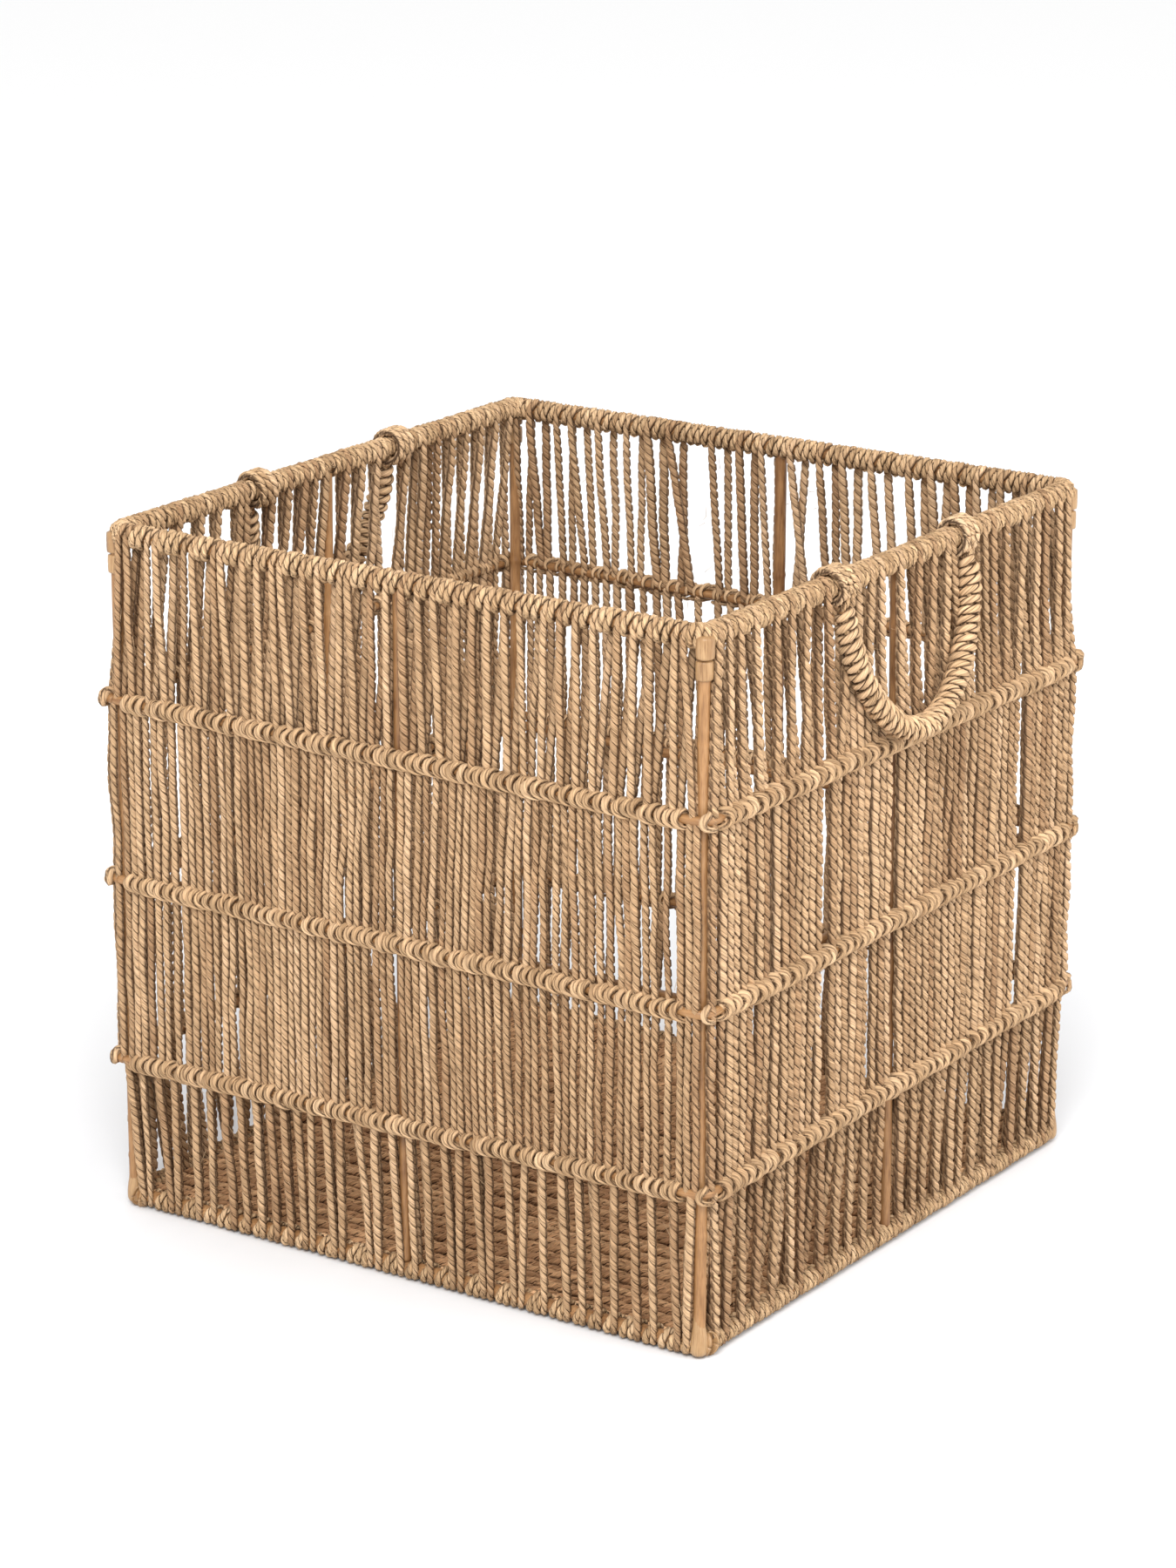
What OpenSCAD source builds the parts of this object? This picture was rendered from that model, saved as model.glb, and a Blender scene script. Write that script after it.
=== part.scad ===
// Square laundry basket: a bare cane frame wound with two-ply cord, with two handles that hang on the rim.
// The origin is on the floor in the middle of the basket. +Z is up and +X points out through a handle.
// Walls are numbered 0 front (-Y), 1 right (+X), 2 back (+Y) and 3 left (-X). In a wall's own frame
// X runs along the wall, -Y points out of the basket and the rim rod's centre is at Y = 0.

/* [Basket] */
// Width along X, between the centres of the rim rods
basket_w = 450; // [400:2:520]
// Depth along Y, between the centres of the rim rods
basket_d = 446; // [400:2:520]
// Height of the top rim's centre above the bottom rim's centre
wall_h = 455.5; // [440:0.5:500]

/* [Cane frame] */
// Radius of the top rim's rod
rim_r = 4; // [3.5:0.1:4.2]
// Radius of the bottom rim's rod
foot_r = 4.5; // [4:0.1:4.8]
// Radius of the corner posts and the mid posts
post_r = 4; // [3.5:0.1:4.2]
// Radius of the hoops' rods
hoop_r = 3; // [2.5:0.1:3.2]
// Radius of the inner rails
rail_r = 3.5; // [3:0.1:4]
// Radius of the bars under the floor
bar_r = 2.5; // [2:0.1:3]
// Number of bars under the floor
bar_count = 3; // [1:1:5]
// Bend radius of both rims at the corners
rim_bend = 8.5; // [8.5:0.1:12]

/* [Hoops] */
// Height of the lower hoop above the floor, at the middle of the basket
lower_z = 111.1; // [100:0.1:125]
// Height of the middle hoop above the floor, at the middle of the basket
middle_z = 230.5; // [215:0.1:245]
// Height of the upper hoop above the floor, at the middle of the basket
upper_z = 349.7; // [335:0.1:355]
// Height of the inner rails above the floor
rail_z = 229.5; // [215:0.1:245]

/* [Cord] */
// Radius of the wound top rim
rim_wrap_r = 8; // [7:0.1:8.2]
// Radius of the wound bottom rim
foot_wrap_r = 8.5; // [8:0.1:9]
// Radius of the hitched hoops
hitch_r = 6.7; // [6:0.1:7]
// Thickness of a wall of cord
cord_t = 5; // [4:0.1:5.4]
// Thickness of the woven floor
floor_t = 8; // [7:0.1:8.5]

/* [Handles] */
// Distance between the tops of a handle's legs
handle_span = 152; // [130:1:160]
// Drop of a handle below the tops of its legs
handle_drop = 92; // [88:1:93]
// Radius of a wound handle
handle_r = 8.5; // [7.5:0.1:8.8]
// Radius of the cane inside a handle
handle_core_r = 4; // [3:0.1:4.5]
// Outer radius of the loops round the rim
loop_r = 12.6; // [11.5:0.1:13]
// Length of a loop along the rim
loop_len = 15; // [10:0.5:18]
// Lean of a hanging handle, away from the wall
handle_lean = 9.2; // [9.2:0.1:12]

/* [Hidden] */
$fn = 48;

cane = "#c08a4e";
peel = "#d0a060";
straw = "#c9a26b";
steel = "#9a9a9a";

half_w = basket_w / 2;
half_d = basket_d / 2;
foot_flat = 0.5;                          // the wound bottom rim is cut this flat where it stands
foot_z = foot_wrap_r - foot_flat;
rim_z = foot_z + wall_h;
fit = 0.05;                               // gap between pieces of one body that touch
post_gap = post_r + 0.1;                  // radius of the clearance cut round a post
hoop_out = post_r + hoop_r + fit;         // a hoop's rod stands this far outside the rim's centre
hoop_bend = hoop_out;                     // so a hoop bends round its corner post
cord_in = post_r + 0.6;                   // inner face of a wall of cord, outside the posts
cord_out = cord_in + cord_t;
pleat_in = -7;                            // where the loops open round a rim, the cords reach this far in
pleat_out = 8.6;
end_gap = 0.2;                            // gap between a wall of cord and the winding above or below it
pleat_end = 8;                            // the opened cords stop this far short of a corner
hitch_end = 6;                            // the hitches stop this far short of a corner
cord_over = 2;                            // the straight cords run this far past a corner post's centre
binding_r = post_r + 1.8;
binding_len = 26;
foot_binding_r = foot_r + 1.7;
nail_r = 0.7;
nail_in = 2;
nail_off = 1.75;                          // a corner's nail stands this far in, under the rim's bend
bar_step = basket_w / (bar_count + 1);
rail_in = post_r + rail_r + fit;

// Slopes of the hand-made hoops along X and Y: lower, middle, upper
hoop_level = [lower_z, middle_z, upper_z];
hoop_slope_x = [0.0122, -0.0062, -0.0058];
hoop_slope_y = [0.0112, 0.0022, -0.0119];

hinge_gap = 0.35;                         // running gap between the wound rim and a loop
loop_bore = rim_wrap_r + hinge_gap;
handle_off = 4.85;                        // a handle's plane passes this far outside the rim's centre
leg_top = 15.5;                           // the legs start this far below the rim's centre
handle_bottom_r = 60;                     // bend at the bottom of a handle
leg_side = handle_span / 2;
leg_rise = handle_drop - handle_bottom_r;
handle_side_r = (leg_side * leg_side + leg_rise * leg_rise - handle_bottom_r * handle_bottom_r)
    / (2 * (leg_side - handle_bottom_r));
leg_arc = atan2(leg_rise, handle_side_r - leg_side);
neck_r = 5;
notch_gap = 0.6;                          // clearance between a handle and the wall of cord behind it

function half_out(k) = k % 2 == 0 ? half_d : half_w;
function half_run(k) = k % 2 == 0 ? half_w : half_d;
// Where a point at u along wall k lies in the basket's plan
function plan(k, u) = [[u, -half_d], [half_w, u], [-u, half_d], [-half_w, -u]][k];
// Height of hoop h's centre at u along wall k
function hoop_z(h, k, u) = hoop_level[h] + hoop_slope_x[h] * plan(k, u)[0] + hoop_slope_y[h] * plan(k, u)[1];

module on_wall(k) {
    rotate([0, 0, 90 * k]) translate([0, -half_out(k), 0]) children();
}

module at_corner(k) {
    rotate([0, 0, 90 * k]) translate([half_run(k), -half_out(k), 0]) children();
}

module tilt_hoop(h) {
    translate([0, 0, hoop_level[h]]) rotate([atan(hoop_slope_y[h]), -atan(hoop_slope_x[h]), 0]) children();
}

module rod(len, r) {
    rotate([0, 90, 0]) cylinder(h = len, r = r, center = true);
}

module tube(len, r_out, r_in) {
    rotate([0, 90, 0]) difference() {
        cylinder(h = len, r = r_out, center = true);
        cylinder(h = len + 2, r = r_in, center = true);
    }
}

// A quarter bend at the corner that at_corner() gives, for a rod that stands out by the given distance
module bend(out, turn_r) {
    translate([out - turn_r, turn_r - out, 0]) rotate([0, 0, -90])
        rotate_extrude(angle = 90) translate([turn_r, 0]) children();
}

// A closed ring of rod round the basket
module ring(out, turn_r, r) {
    for (k = [0 : 3]) {
        on_wall(k) translate([0, -out, 0]) rod(2 * (half_run(k) + out - turn_r), r);
        at_corner(k) bend(out, turn_r) circle(r);
    }
}

module post(z0, z1, r) {
    translate([0, 0, z0]) cylinder(h = z1 - z0, r = r);
}

module corner_post(k) {
    color(cane) at_corner(k) post(foot_z + foot_binding_r + fit, rim_z - rim_r - fit, post_r);
}

module mid_post(k) {
    color(cane) on_wall(k) post(foot_z + foot_r + fit, rim_z - rim_r - fit, post_r);
}

// The rails in front and behind reach the corner posts, and the side rails fit between them
module inner_rail(k) {
    len = k % 2 == 0 ? 2 * half_run(k) : 2 * (half_run(k) - rail_in - rail_r - fit);
    color(cane) on_wall(k) translate([0, rail_in, rail_z]) rod(len, rail_r);
}

module hoop(h) {
    color(cane) tilt_hoop(h) ring(hoop_out, hoop_bend, hoop_r);
}

module base_bars() {
    bar_len = 2 * (half_d - foot_wrap_r - fit);
    color(cane) for (i = [1 : bar_count])
        translate([i * bar_step - half_w, 0, foot_z]) rotate([0, 0, 90]) rod(bar_len, bar_r);
}

// Strips of cane peel wound round the tops of the corner posts, just under the wound rim
module post_bindings() {
    top = rim_z - rim_wrap_r - end_gap;
    color(peel) for (k = [0 : 3]) at_corner(k) difference() {
        post(top - binding_len, top, binding_r);
        post(top - binding_len - 1, top + 1, post_r + fit);
    }
}

// Strips of cane peel wound round the bottom rim's bends, where no cord covers them
module foot_bindings() {
    color(peel) for (k = [0 : 3]) at_corner(k) translate([0, 0, foot_z]) bend(0, rim_bend) difference() {
        circle(foot_binding_r);
        circle(foot_r + fit);
    }
}

module nail(z0, z1) {
    translate([0, 0, z0]) cylinder(h = z1 - z0, r = nail_r);
}

// A nail through a hoop and its post, square to the wall
module cross_nail(inner) {
    rotate([90, 0, 0]) nail(-inner, hoop_out + hoop_r - 0.3);
}

module frame_nails() {
    rail_depth = rail_in + rail_r - 0.5;
    color(steel) for (k = [0 : 3]) {
        on_wall(k) {
            nail(rim_z - 14, rim_z + rim_r - 1);
            nail(foot_z - foot_r + 1, foot_z + 18);
            for (h = [0 : 2]) translate([0, 0, hoop_z(h, k, 0)])
                cross_nail(h == 1 ? rail_depth : nail_in);
        }
        at_corner(k) {
            translate([-nail_off, nail_off, 0]) nail(rim_z - 14, rim_z + 1);
            translate([-nail_off, nail_off, 0]) nail(foot_z - foot_r + 1, foot_z + 18);
            for (h = [0 : 2]) translate([0, 0, hoop_z(h, k, half_run(k))])
                rotate([0, 0, 45]) rotate([90, 0, 0]) nail(1, hoop_out + hoop_r - 0.3);
        }
    }
}

// The cord wound round one side of a rim, cut where the posts come through it
module rim_wrap(k, z, r_out, r_in) {
    color(straw) on_wall(k) difference() {
        translate([0, 0, z]) tube(2 * (half_run(k) - rim_bend), r_out, r_in + fit);
        post(foot_z + r_in, rim_z - r_in, post_gap);
    }
}

// A wound side of the bottom rim, flat where it stands on the floor
module base_wrap(k) {
    color(straw) difference() {
        rim_wrap(k, foot_z, foot_wrap_r, foot_r);
        translate([0, 0, -basket_w]) cube(2 * basket_w, center = true);
    }
}

module rim_corner_wraps() {
    color(straw) for (k = [0 : 3]) at_corner(k) difference() {
        translate([0, 0, rim_z]) bend(0, rim_bend) difference() {
            circle(rim_wrap_r);
            circle(rim_r + fit);
        }
        post(foot_z, rim_z - rim_r + nail_r, post_gap);
    }
}

// The hitches along the four sides of a hoop, cut where they close round the mid posts
module hitches(h) {
    color(straw) difference() {
        tilt_hoop(h) for (k = [0 : 3])
            on_wall(k) translate([0, -hoop_out, 0])
                tube(2 * (half_run(k) - hitch_end), hitch_r, hoop_r + fit);
        for (k = [0 : 3]) on_wall(k) post(foot_z, rim_z, post_gap);
    }
}

// A slab on wall k between two sloping lines, each given by its heights at the two ends
module slab(half_len, low, high, w0, w1) {
    rotate([90, 0, 0]) translate([0, 0, w0]) linear_extrude(w1 - w0)
        polygon([[-half_len, low[0]], [half_len, low[1]], [half_len, high[1]], [-half_len, high[0]]]);
}

function above(h, k, u) = [for (s = [-1, 1]) hoop_z(h, k, s * u) + hitch_r + end_gap];
function below(h, k, u) = [for (s = [-1, 1]) hoop_z(h, k, s * u) - hitch_r - end_gap];

// Straight cords between two hoops
module straight_cords(k, h) {
    run = half_run(k) + cord_over;
    color(straw) on_wall(k) slab(run, above(h, k, run), below(h + 1, k, run), cord_in, cord_out);
}

// Cords that open from a hoop to both sides of a rim; the outline is the wall's section, from the hoop out
module opened_cords(k, low, high, z_hoop, z_rim) {
    run = half_run(k) - pleat_end;
    difference() {
        intersection() {
            slab(run, low, high, pleat_in - 1, cord_out + 1);
            rotate([90, 0, 90]) linear_extrude(2 * run + 2, center = true)
                polygon([[-cord_in, z_hoop], [-cord_out, z_hoop], [-pleat_out, z_rim], [-pleat_in, z_rim]]);
        }
        post(foot_z, rim_z, post_gap);
    }
}

module top_cords(k) {
    run = half_run(k) - pleat_end;
    z_rim = rim_z - rim_wrap_r - end_gap;
    low = above(2, k, run);
    color(straw) difference() {
        on_wall(k) opened_cords(k, low, [z_rim, z_rim], min(low) - 1, z_rim);
        if (k % 2 == 1) handle_frame(k) handle_clearance();
    }
}

module bottom_cords(k) {
    run = half_run(k) - pleat_end;
    z_rim = foot_z + foot_wrap_r + end_gap;
    high = below(0, k, run);
    color(straw) on_wall(k) opened_cords(k, [z_rim, z_rim], high, max(high) + 1, z_rim);
}

module base_weave() {
    inset = foot_wrap_r + end_gap;
    size = [basket_w - 2 * inset, basket_d - 2 * inset, floor_t];
    color(straw) difference() {
        translate([0, 0, foot_z]) cube(size, center = true);
        for (i = [1 : bar_count])
            translate([i * bar_step - half_w, 0, foot_z]) rotate([0, 0, 90]) rod(basket_d, bar_r + fit);
    }
}

// A handle's frame on wall k: the origin is on the rim's centre and the handle hangs along -Z
module handle_frame(k) {
    rotate([0, 0, k == 1 ? 0 : 180]) translate([half_w, 0, rim_z]) rotate([0, -handle_lean, 0]) children();
}

// The U of a handle: two side arcs and a bottom arc, with a ball in each joint that makes them one solid
module handle_bar(r) {
    translate([handle_off, 0, -leg_top]) rotate([90, 0, 90]) {
        for (side = [0, 1]) mirror([side, 0, 0])
            translate([leg_side - handle_side_r, 0, 0]) rotate([0, 0, -leg_arc]) {
                rotate_extrude(angle = leg_arc) translate([handle_side_r, 0]) circle(r);
                translate([handle_side_r, 0, 0]) sphere(r + fit);
            }
        translate([0, -leg_rise, 0]) rotate([0, 0, leg_arc - 180])
            rotate_extrude(angle = 180 - 2 * leg_arc) translate([handle_bottom_r, 0]) circle(r);
    }
}

module handle_core(k) {
    color(cane) handle_frame(k) handle_bar(handle_core_r);
}

module handle_wrap(k) {
    color(straw) handle_frame(k) difference() {
        handle_bar(handle_r);
        handle_bar(handle_core_r + fit);
    }
}

module loop_bores(r, len) {
    for (side = [-1, 1]) translate([0, side * leg_side, 0]) rotate([90, 0, 0])
        cylinder(h = len, r = r, center = true);
}

// Rope loops round the rim, with the necks that the legs hang from
module handle_loops(k) {
    color(straw) handle_frame(k) difference() {
        union() {
            loop_bores(loop_r, loop_len);
            for (side = [-1, 1]) translate([handle_off, side * leg_side, 0])
                post(fit - leg_top, -rim_wrap_r, neck_r);
        }
        loop_bores(loop_bore, loop_len + 2);
    }
}

// The room that a handle takes from the wall of cord, hanging or swinging over the rim
module handle_clearance() {
    handle_bar(handle_r + notch_gap);
    loop_bores(leg_top + handle_off + notch_gap, 2 * (handle_r + notch_gap));
}

color(cane) translate([0, 0, rim_z]) ring(0, rim_bend, rim_r);  // top_rim
color(cane) translate([0, 0, foot_z]) ring(0, rim_bend, foot_r);  // bottom_rim
hoop(2);  // hoop_upper
hoop(1);  // hoop_middle
hoop(0);  // hoop_lower
corner_post(3);  // corner_post_front_left
corner_post(0);  // corner_post_front_right
corner_post(1);  // corner_post_back_right
corner_post(2);  // corner_post_back_left
mid_post(0);  // mid_post_front
mid_post(1);  // mid_post_right
mid_post(2);  // mid_post_back
mid_post(3);  // mid_post_left
inner_rail(0);  // inner_rail_front
inner_rail(1);  // inner_rail_right
inner_rail(2);  // inner_rail_back
inner_rail(3);  // inner_rail_left
base_bars();
post_bindings();
foot_bindings();
frame_nails();
rim_wrap(0, rim_z, rim_wrap_r, rim_r);  // rim_wrap_front
rim_wrap(1, rim_z, rim_wrap_r, rim_r);  // rim_wrap_right
rim_wrap(2, rim_z, rim_wrap_r, rim_r);  // rim_wrap_back
rim_wrap(3, rim_z, rim_wrap_r, rim_r);  // rim_wrap_left
rim_corner_wraps();
base_wrap(0);  // base_wrap_front
base_wrap(1);  // base_wrap_right
base_wrap(2);  // base_wrap_back
base_wrap(3);  // base_wrap_left
hitches(2);  // hitches_upper
hitches(1);  // hitches_middle
hitches(0);  // hitches_lower
top_cords(0);  // cords_front_top
straight_cords(0, 1);  // cords_front_upper
straight_cords(0, 0);  // cords_front_lower
bottom_cords(0);  // cords_front_bottom
top_cords(1);  // cords_right_top
straight_cords(1, 1);  // cords_right_upper
straight_cords(1, 0);  // cords_right_lower
bottom_cords(1);  // cords_right_bottom
top_cords(2);  // cords_back_top
straight_cords(2, 1);  // cords_back_upper
straight_cords(2, 0);  // cords_back_lower
bottom_cords(2);  // cords_back_bottom
top_cords(3);  // cords_left_top
straight_cords(3, 1);  // cords_left_upper
straight_cords(3, 0);  // cords_left_lower
bottom_cords(3);  // cords_left_bottom
base_weave();
handle_core(1);  // right_handle_core
handle_wrap(1);  // right_handle_wrap
handle_loops(1);  // right_handle_loops
handle_core(3);  // left_handle_core
handle_wrap(3);  // left_handle_wrap
handle_loops(3);  // left_handle_loops
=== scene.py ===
# Square laundry basket: a cane frame wound with two-ply grass cord, with two rope-wound handles that hang on the rim.
# Metres throughout. Wall 0 is the front (-Y), 1 the right (+X), 2 the back (+Y) and 3 the left (-X).
# On a wall, u runs along it, w stands out from the middle of the rim, and z is the height.
import math
import bpy
import numpy as np
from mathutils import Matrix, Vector


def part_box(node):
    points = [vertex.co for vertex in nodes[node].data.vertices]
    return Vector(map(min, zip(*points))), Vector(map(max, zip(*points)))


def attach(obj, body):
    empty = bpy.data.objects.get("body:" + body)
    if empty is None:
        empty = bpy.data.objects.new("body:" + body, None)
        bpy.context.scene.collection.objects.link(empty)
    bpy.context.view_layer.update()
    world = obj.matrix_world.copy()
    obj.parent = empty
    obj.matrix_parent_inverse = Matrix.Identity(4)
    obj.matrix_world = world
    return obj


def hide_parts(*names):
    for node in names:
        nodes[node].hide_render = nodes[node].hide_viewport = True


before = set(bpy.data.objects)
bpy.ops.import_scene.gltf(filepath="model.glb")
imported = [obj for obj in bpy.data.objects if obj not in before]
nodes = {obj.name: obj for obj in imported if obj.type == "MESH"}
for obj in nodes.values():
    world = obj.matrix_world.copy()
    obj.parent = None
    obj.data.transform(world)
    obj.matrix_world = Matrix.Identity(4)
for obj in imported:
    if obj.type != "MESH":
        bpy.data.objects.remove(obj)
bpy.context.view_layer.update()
print("frame loaded:", len(nodes), "nodes")


def nodeBox(name):
    # a node's lowest and highest corners as two arrays
    low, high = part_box(name)
    return np.array(low), np.array(high)


def nodePoints(name):
    # all the points of a node as rows of x, y, z
    mesh = nodes[name].data
    flat = np.empty(len(mesh.vertices) * 3, np.float32)
    mesh.vertices.foreach_get("co", flat)
    return flat.reshape(-1, 3).astype(float)


def hoopPlane(name):
    # the plane z = a + b x + c y that lies closest to a hoop's points, and the hoop's own radius as the furthest point off it
    points = nodePoints(name)
    columns = np.column_stack((np.ones(len(points)), points[:, 0], points[:, 1]))
    plane = np.linalg.lstsq(columns, points[:, 2], rcond=None)[0]
    return plane, float(np.abs(points[:, 2] - columns @ plane).max())


rimLow, rimHigh = nodeBox("top_rim")
footLow, footHigh = nodeBox("bottom_rim")
hoopLow, hoopHigh = nodeBox("hoop_middle")
rimRod = (rimHigh[2] - rimLow[2]) / 2
rimZ = (rimHigh[2] + rimLow[2]) / 2
footZ = (footHigh[2] + footLow[2]) / 2
halfX, halfY = rimHigh[0] - rimRod, rimHigh[1] - rimRod
halfRun = [halfX, halfY, halfX, halfY]
halfOut = [halfY, halfX, halfY, halfX]
hoopNames = ["hoop_lower", "hoop_middle", "hoop_upper"]
hoopPlanes = [hoopPlane(name)[0] for name in hoopNames]
hoopRod = hoopPlane("hoop_middle")[1]
hoopOut = hoopHigh[0] - hoopRod - halfX
wallNames = ["front", "right", "back", "left"]
alongWall = np.array([(1, 0, 0), (0, 1, 0), (-1, 0, 0), (0, -1, 0)], float)
outOfWall = np.array([(0, -1, 0), (1, 0, 0), (0, 1, 0), (-1, 0, 0)], float)
up = np.array((0.0, 0.0, 1.0))
mm = 0.001
phaseRange = 6.28


def place(k, u, w, z):
    # a point of wall k: u along the wall, halfOut + w out of it, z up
    u, w, z = np.broadcast_arrays(np.asarray(u, float), np.asarray(w, float), np.asarray(z, float))
    return u[..., None] * alongWall[k] + (w + halfOut[k])[..., None] * outOfWall[k] + z[..., None] * up


def placeOnRing(k, s, w, z, out, bend):
    # A point beside a ring that stands out from the rim's middle: s runs along the ring from the middle of wall k and on round the
    # bend, where the point turns about the bend's centre by (s - straight half) / bend; w is its distance outside the ring's middle.
    s, w, z = np.broadcast_arrays(np.asarray(s, float), np.asarray(w, float), np.asarray(z, float))
    half = halfRun[k] + out - bend
    turn = np.sign(s) * np.maximum(np.abs(s) - half, 0) / bend
    reach = bend + w
    return place(k, np.clip(s, -half, half) + reach * np.sin(turn), out - bend + reach * np.cos(turn), z)


def hoopHeight(h, k, u):
    # height of hoop h over the point u along wall k, from the hoop's plane
    spot = place(k, u, hoopOut, 0)
    a, b, c = hoopPlanes[h]
    return a + b * spot[..., 0] + c * spot[..., 1]


def lobes(count, waist, reach=1.0):
    # outline of a cord of count plies: the radius dips to the waist between one ply and the next
    steps = {2: [0, 48, 90, 132], 1: [0, 60, 120, 180, 240, 300]}[count]
    angles = np.radians([a + 180 * n for n in range(count) for a in steps])
    return angles, reach * np.where(np.isclose(np.cos(angles), 0, atol=1e-6) & (count == 2), waist, 1.0)


def roundOutline(sides):
    # a plain round outline
    return np.arange(sides) * 2 * math.pi / sides, np.ones(sides)


def sweep(paths, across, outline, radius, lay=0.0, phase=0.0, tone=0.5, flat=1.0):
    # Each path carries a closed outline. A point of it lies at path + r cos(t) side - r sin(t) lift * flat, where side is the across
    # direction squared up to the path, lift is tangent x side, and t = outline angle + phase + 2 pi s / lay at arc length s.
    # A fan of one face closes each end. The contact shade value of a point is |cos t|: 1 where the cord faces its
    # neighbours, 0 on its face; the cord materials darken by it as painted contact shade.
    paths = np.asarray(paths, float)
    count, rings = paths.shape[:2]
    angles, reach = outline
    sides = len(angles)
    step = np.diff(paths, axis=1)
    tangent = np.concatenate((step[:, :1], paths[:, 2:] - paths[:, :-2], step[:, -1:]), axis=1)
    tangent /= np.linalg.norm(tangent, axis=-1, keepdims=True) + 1e-12
    side = np.broadcast_to(across, paths.shape)
    side = side - (side * tangent).sum(-1, keepdims=True) * tangent
    side = side / (np.linalg.norm(side, axis=-1, keepdims=True) + 1e-12)
    lift = np.cross(tangent, side)
    run = np.concatenate((np.zeros((count, 1)), np.cumsum(np.linalg.norm(step, axis=-1), axis=1)), axis=1)
    spin = np.broadcast_to(np.asarray(phase, float).reshape(-1, 1), (count, 1)) + (2 * math.pi * run / lay if lay else 0 * run)
    turn = spin[..., None] + angles
    size = np.broadcast_to(np.asarray(radius, float).reshape((-1, 1) if np.ndim(radius) < 2 else np.shape(radius)), (count, rings))
    size = size[..., None] * reach
    points = (paths[:, :, None] + (np.cos(turn) * size)[..., None] * side[:, :, None]
              - (np.sin(turn) * size * flat)[..., None] * lift[:, :, None])
    i = np.arange(count)[:, None, None]
    j = np.arange(rings - 1)[None, :, None]
    q = np.arange(sides)[None, None, :]
    corner = (i * rings + j) * sides
    quads = np.stack((corner + q, corner + sides + q, corner + sides + (q + 1) % sides,
                      corner + (q + 1) % sides), -1).reshape(-1, 4)
    u0, u1 = np.broadcast_to(q / sides, (count, rings - 1, sides)), np.broadcast_to(
        (q + 1) / sides, (count, rings - 1, sides))
    v0 = np.broadcast_to(run[:, :-1, None], u0.shape) * 100
    v1 = np.broadcast_to(run[:, 1:, None], u0.shape) * 100
    uv = np.stack((np.stack((u0, v0), -1), np.stack((u0, v1), -1), np.stack((u1, v1), -1),
                   np.stack((u1, v0), -1)), -2).reshape(-1, 2)
    first = (np.arange(count)[:, None] * rings) * sides + np.arange(sides)
    last = first[:, ::-1] + (rings - 1) * sides
    caps = np.concatenate((first, last))
    capUv = np.tile((0.0, 0.0), (caps.size, 1))
    tones = np.repeat(np.broadcast_to(np.asarray(tone, float).reshape(-1), (count,)), rings * sides)
    return {"points": points.reshape(-1, 3), "quads": quads, "uv": uv, "caps": caps, "capUv": capUv, "tone": tones,
            "contactShade": np.abs(np.cos(turn)).ravel()}


def addPiece(name, parts, material, body, replaced=()):
    # one mesh from several swept parts, with its faces, UV map and two point attributes written as whole arrays
    points = np.concatenate([p["points"] for p in parts])
    starts = np.cumsum([0] + [len(p["points"]) for p in parts[:-1]])
    corners, totals, uvs = [], [], []
    for p, start in zip(parts, starts):
        corners += [(p["quads"] + start).ravel(), (p["caps"] + start).ravel()]
        totals += [np.full(len(p["quads"]), 4), np.full(len(p["caps"]), p["caps"].shape[1] if len(p["caps"]) else 3)]
        uvs += [p["uv"], p["capUv"]]
    corners, totals, uvs = np.concatenate(corners), np.concatenate(totals), np.concatenate(uvs)
    mesh = bpy.data.meshes.new(name)
    mesh.vertices.add(len(points))
    mesh.vertices.foreach_set("co", points.astype(np.float32).ravel())
    mesh.loops.add(len(corners))
    mesh.loops.foreach_set("vertex_index", corners.astype(np.int32))
    mesh.polygons.add(len(totals))
    mesh.polygons.foreach_set("loop_start", np.concatenate(([0], np.cumsum(totals)[:-1])).astype(np.int32))
    mesh.polygons.foreach_set("loop_total", totals.astype(np.int32))
    mesh.polygons.foreach_set("use_smooth", np.ones(len(totals), bool))
    mesh.uv_layers.new(name="UVMap").data.foreach_set("uv", uvs.astype(np.float32).ravel())
    for key in ("tone", "contactShade"):
        mesh.attributes.new(key, "FLOAT", "POINT").data.foreach_set(
            "value", np.concatenate([p[key] for p in parts]).astype(np.float32))
    mesh.update(calc_edges=True)
    mesh.materials.append(material)
    piece = bpy.data.objects.new(name, mesh)
    bpy.context.scene.collection.objects.link(piece)
    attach(piece, body)
    if replaced:
        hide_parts(*replaced)
    triangles = int((totals - 2).sum())
    print("  piece", name, triangles, "triangles")
    return piece


def addBasketPiece(name, parts, material, slotName, *replaced):
    # a piece that rides on the basket
    return addPiece(name, parts, material, "basket", replaced)


def smooth(t):
    # 0 to 1 with level ends
    t = np.clip(t, 0, 1)
    return t * t * (3 - 2 * t)


def waver(rng, count, t, size, waves=2):
    # slow random sway along each of count paths: a few sines of random phase, faded to nothing at both ends
    sway = sum(np.sin(2 * math.pi * (n * t + rng.random((count, 1)))) * rng.normal(0, 1, (count, 1)) / n
               for n in range(1, waves + 1))
    return size * sway * np.sin(math.pi * np.clip(t, 0, 1))


def makeMaterial(name, roughness, specular=0.3):
    # an empty material with its shader and output, ready for nodes
    material = bpy.data.materials.new(name)
    material.use_nodes = True
    tree = material.node_tree
    shader = tree.nodes["Principled BSDF"]
    shader.inputs["Roughness"].default_value = roughness
    shader.inputs["Specular IOR Level"].default_value = specular
    return material, tree, shader


def addNode(tree, kind, values=None, **settings):
    # one node with its settings, and with its inputs set or linked by name or number
    node = tree.nodes.new("ShaderNode" + kind)
    for key, value in settings.items():
        setattr(node, key, value)
    for key, value in (values or {}).items():
        socket = node.inputs[key]
        if isinstance(value, bpy.types.NodeSocket):
            tree.links.new(value, socket)
        else:
            socket.default_value = value
    return node


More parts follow.
